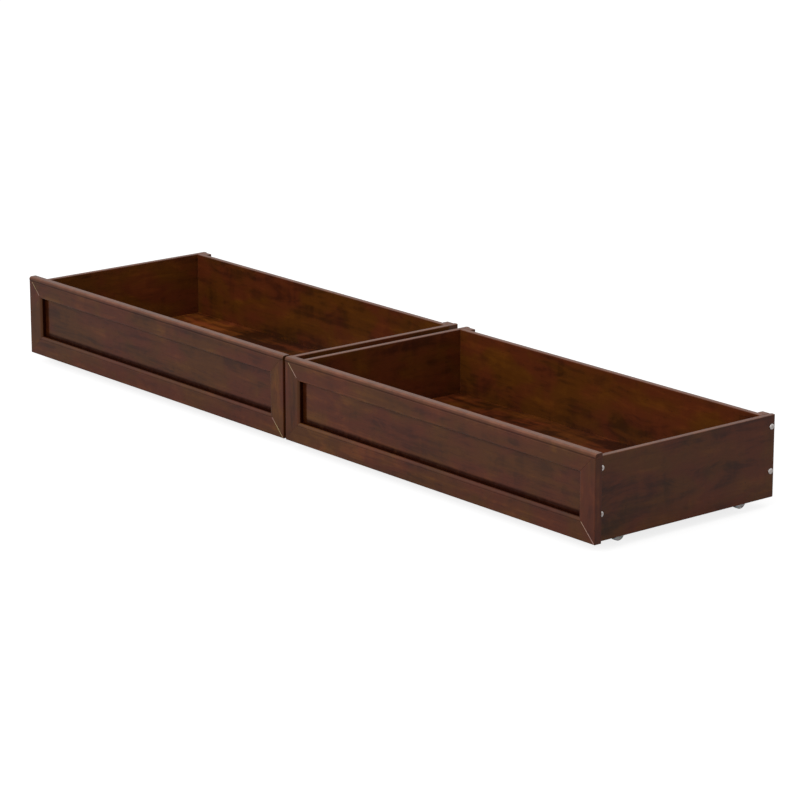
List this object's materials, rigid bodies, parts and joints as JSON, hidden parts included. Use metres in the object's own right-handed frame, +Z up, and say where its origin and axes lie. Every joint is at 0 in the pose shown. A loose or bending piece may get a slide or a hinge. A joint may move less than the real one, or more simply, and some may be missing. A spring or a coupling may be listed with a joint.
{
  "type": "under-bed trundle drawer pair",
  "caption": "Pair of low open under-bed drawers in dark stained wood, with mitred frame-and-panel fronts, bolted corners and fixed casters for rolling out from under a bed.",
  "frame": {"origin": "on the floor, in the middle of the pair's footprint", "axes": "+X along the two fronts, +Y from the fronts towards the backs, +Z up"},
  "size_m": [1.9, 0.488, 0.198],
  "materials": {
    "front_wood": "semi-gloss lacquer over dark walnut stain",
    "case_wood": "satin lacquer over dark walnut stain",
    "bottom_wood": "stained plywood, thin lacquer",
    "bolt_nickel": "nickel-plated, softly polished",
    "caster_zinc": "zinc-plated pressed sheet",
    "wheel_nylon": "off-white moulded nylon"
  },
  "bodies": {
    "left_drawer": {"left_drawer_back_board": "case_wood", "left_drawer_bottom_board": "bottom_wood", "left_drawer_centre_support": "bottom_wood", "left_drawer_front_bottom_rail": "front_wood", "left_drawer_front_left_caster_bracket": "caster_zinc", "left_drawer_front_left_cleat": "case_wood", "left_drawer_front_left_lower_bolt": "bolt_nickel", "left_drawer_front_left_stile": "front_wood", "left_drawer_front_left_upper_bolt": "bolt_nickel", "left_drawer_front_panel": "front_wood", "left_drawer_front_right_caster_bracket": "caster_zinc", "left_drawer_front_right_cleat": "case_wood", "left_drawer_front_right_lower_bolt": "bolt_nickel", "left_drawer_front_right_stile": "front_wood", "left_drawer_front_right_upper_bolt": "bolt_nickel", "left_drawer_front_top_rail": "front_wood", "left_drawer_left_side": "case_wood", "left_drawer_rear_left_caster_bracket": "caster_zinc", "left_drawer_rear_left_cleat": "case_wood", "left_drawer_rear_left_lower_bolt": "bolt_nickel", "left_drawer_rear_left_upper_bolt": "bolt_nickel", "left_drawer_rear_right_caster_bracket": "caster_zinc", "left_drawer_rear_right_cleat": "case_wood", "left_drawer_rear_right_lower_bolt": "bolt_nickel", "left_drawer_rear_right_upper_bolt": "bolt_nickel", "left_drawer_right_side": "case_wood"},
    "right_drawer": {"right_drawer_back_board": "case_wood", "right_drawer_bottom_board": "bottom_wood", "right_drawer_centre_support": "bottom_wood", "right_drawer_front_bottom_rail": "front_wood", "right_drawer_front_left_caster_bracket": "caster_zinc", "right_drawer_front_left_cleat": "case_wood", "right_drawer_front_left_lower_bolt": "bolt_nickel", "right_drawer_front_left_stile": "front_wood", "right_drawer_front_left_upper_bolt": "bolt_nickel", "right_drawer_front_panel": "front_wood", "right_drawer_front_right_caster_bracket": "caster_zinc", "right_drawer_front_right_cleat": "case_wood", "right_drawer_front_right_lower_bolt": "bolt_nickel", "right_drawer_front_right_stile": "front_wood", "right_drawer_front_right_upper_bolt": "bolt_nickel", "right_drawer_front_top_rail": "front_wood", "right_drawer_left_side": "case_wood", "right_drawer_rear_left_caster_bracket": "caster_zinc", "right_drawer_rear_left_cleat": "case_wood", "right_drawer_rear_left_lower_bolt": "bolt_nickel", "right_drawer_rear_left_upper_bolt": "bolt_nickel", "right_drawer_rear_right_caster_bracket": "caster_zinc", "right_drawer_rear_right_cleat": "case_wood", "right_drawer_rear_right_lower_bolt": "bolt_nickel", "right_drawer_rear_right_upper_bolt": "bolt_nickel", "right_drawer_right_side": "case_wood"},
    "left_drawer_front_left_wheel": {"left_drawer_front_left_wheel": "wheel_nylon"},
    "left_drawer_front_right_wheel": {"left_drawer_front_right_wheel": "wheel_nylon"},
    "left_drawer_rear_left_wheel": {"left_drawer_rear_left_wheel": "wheel_nylon"},
    "left_drawer_rear_right_wheel": {"left_drawer_rear_right_wheel": "wheel_nylon"},
    "right_drawer_front_left_wheel": {"right_drawer_front_left_wheel": "wheel_nylon"},
    "right_drawer_front_right_wheel": {"right_drawer_front_right_wheel": "wheel_nylon"},
    "right_drawer_rear_left_wheel": {"right_drawer_rear_left_wheel": "wheel_nylon"},
    "right_drawer_rear_right_wheel": {"right_drawer_rear_right_wheel": "wheel_nylon"}
  },
  "joints": [
    {"name": "right_drawer_roll", "type": "slide", "parent": "left_drawer", "child": "right_drawer", "axis": [0, -1, 0], "range_m": [-0.45, 0.45]},
    {"name": "left_drawer_front_left_wheel_spin", "type": "hinge", "parent": "left_drawer", "child": "left_drawer_front_left_wheel", "pos_m": [-0.9055, -0.144, 0.014], "axis": [1, 0, 0], "continuous": true},
    {"name": "left_drawer_front_right_wheel_spin", "type": "hinge", "parent": "left_drawer", "child": "left_drawer_front_right_wheel", "pos_m": [-0.0485, -0.144, 0.014], "axis": [1, 0, 0], "continuous": true},
    {"name": "left_drawer_rear_left_wheel_spin", "type": "hinge", "parent": "left_drawer", "child": "left_drawer_rear_left_wheel", "pos_m": [-0.9055, 0.182, 0.014], "axis": [1, 0, 0], "continuous": true},
    {"name": "left_drawer_rear_right_wheel_spin", "type": "hinge", "parent": "left_drawer", "child": "left_drawer_rear_right_wheel", "pos_m": [-0.0485, 0.182, 0.014], "axis": [1, 0, 0], "continuous": true},
    {"name": "right_drawer_front_left_wheel_spin", "type": "hinge", "parent": "right_drawer", "child": "right_drawer_front_left_wheel", "pos_m": [0.0485, -0.144, 0.014], "axis": [1, 0, 0], "continuous": true},
    {"name": "right_drawer_front_right_wheel_spin", "type": "hinge", "parent": "right_drawer", "child": "right_drawer_front_right_wheel", "pos_m": [0.9055, -0.144, 0.014], "axis": [1, 0, 0], "continuous": true},
    {"name": "right_drawer_rear_left_wheel_spin", "type": "hinge", "parent": "right_drawer", "child": "right_drawer_rear_left_wheel", "pos_m": [0.0485, 0.182, 0.014], "axis": [1, 0, 0], "continuous": true},
    {"name": "right_drawer_rear_right_wheel_spin", "type": "hinge", "parent": "right_drawer", "child": "right_drawer_rear_right_wheel", "pos_m": [0.9055, 0.182, 0.014], "axis": [1, 0, 0], "continuous": true}
  ]
}
